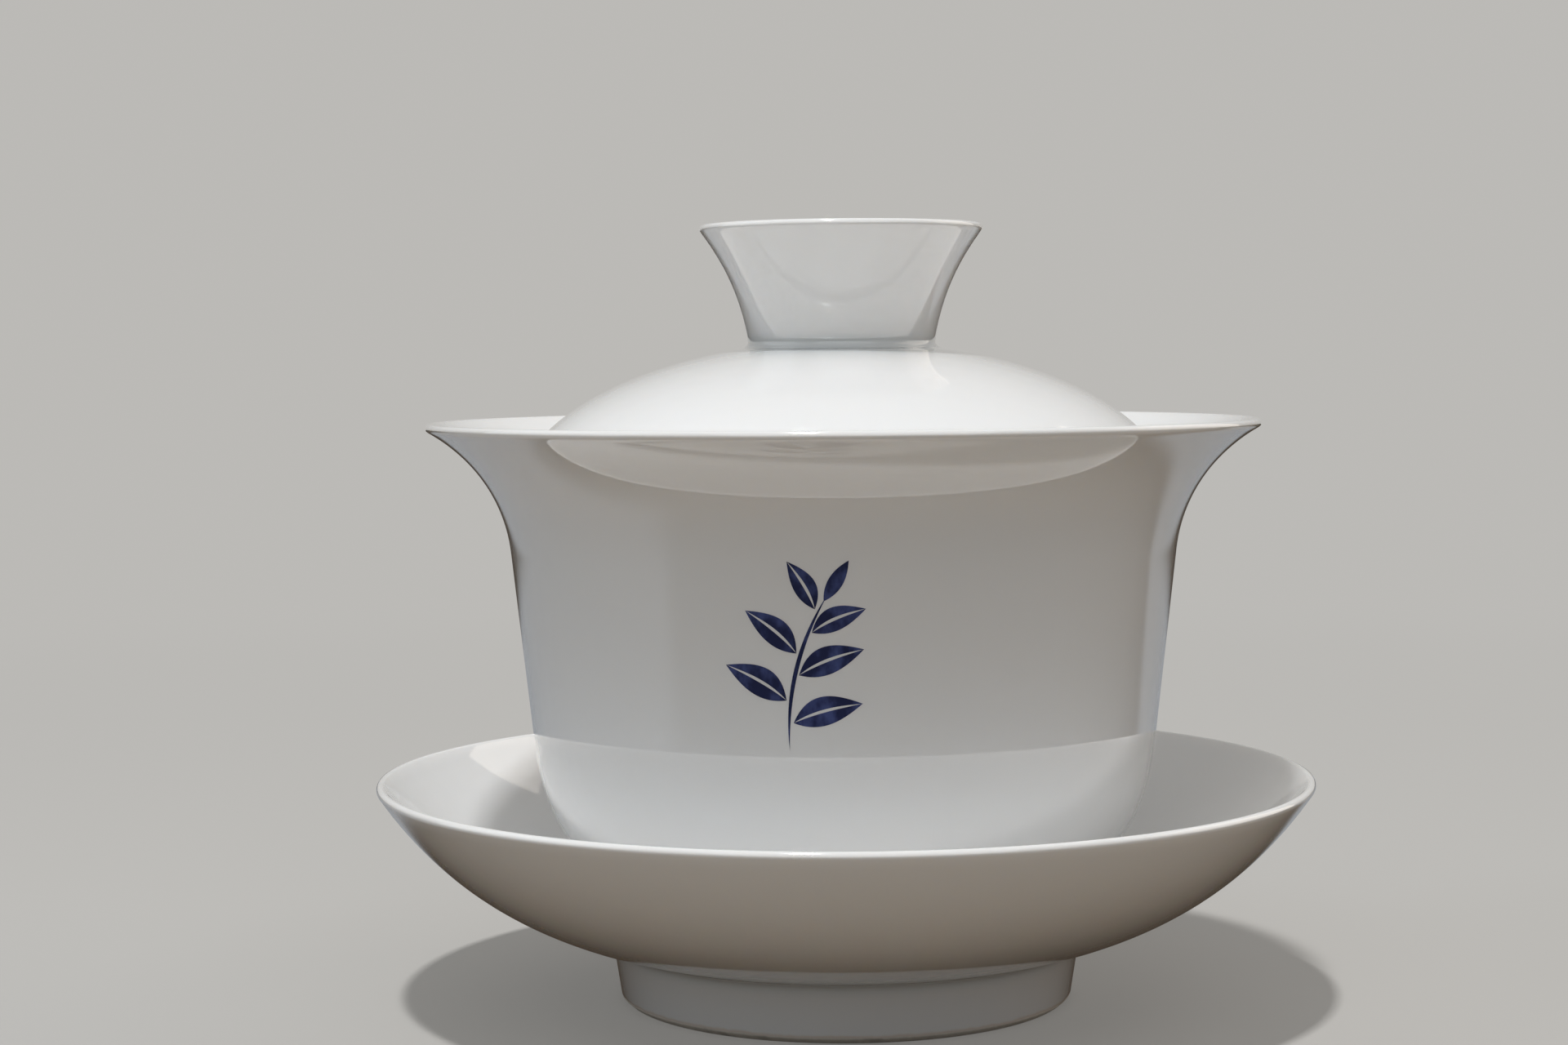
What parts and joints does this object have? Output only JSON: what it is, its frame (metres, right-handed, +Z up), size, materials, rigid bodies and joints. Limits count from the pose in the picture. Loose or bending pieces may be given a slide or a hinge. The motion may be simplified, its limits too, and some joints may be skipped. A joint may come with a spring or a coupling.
{
  "type": "gaiwan",
  "caption": "Covered tea bowl of thin white glazed porcelain: a flared bowl standing in a footed saucer, under a domed lid with a flared ring knob that can be lifted off.",
  "frame": {"origin": "centre of the saucer's foot ring, on the surface that the gaiwan stands on", "axes": "+Z up along the axis that all the pieces are turned about; -Y towards the viewer of the painted side of the bowl; +X to that viewer's right"},
  "size_m": [0.1128, 0.1128, 0.0933],
  "materials": {
    "porcelain": "clear gloss glaze over white porcelain",
    "cobalt": "dark blue painted under the gloss glaze"
  },
  "bodies": {
    "saucer": {"saucer": "porcelain"},
    "bowl": {"bowl": "porcelain"},
    "lid": {"lid": "porcelain", "lid_knob": "porcelain"}
  },
  "joints": [
    {"name": "bowl_lift", "type": "slide", "parent": "saucer", "child": "bowl", "axis": [0, 0, 1], "range_m": [0, 0.06]},
    {"name": "lid_lift", "type": "slide", "parent": "bowl", "child": "lid", "axis": [0, 0, 1], "range_m": [0, 0.06]}
  ]
}
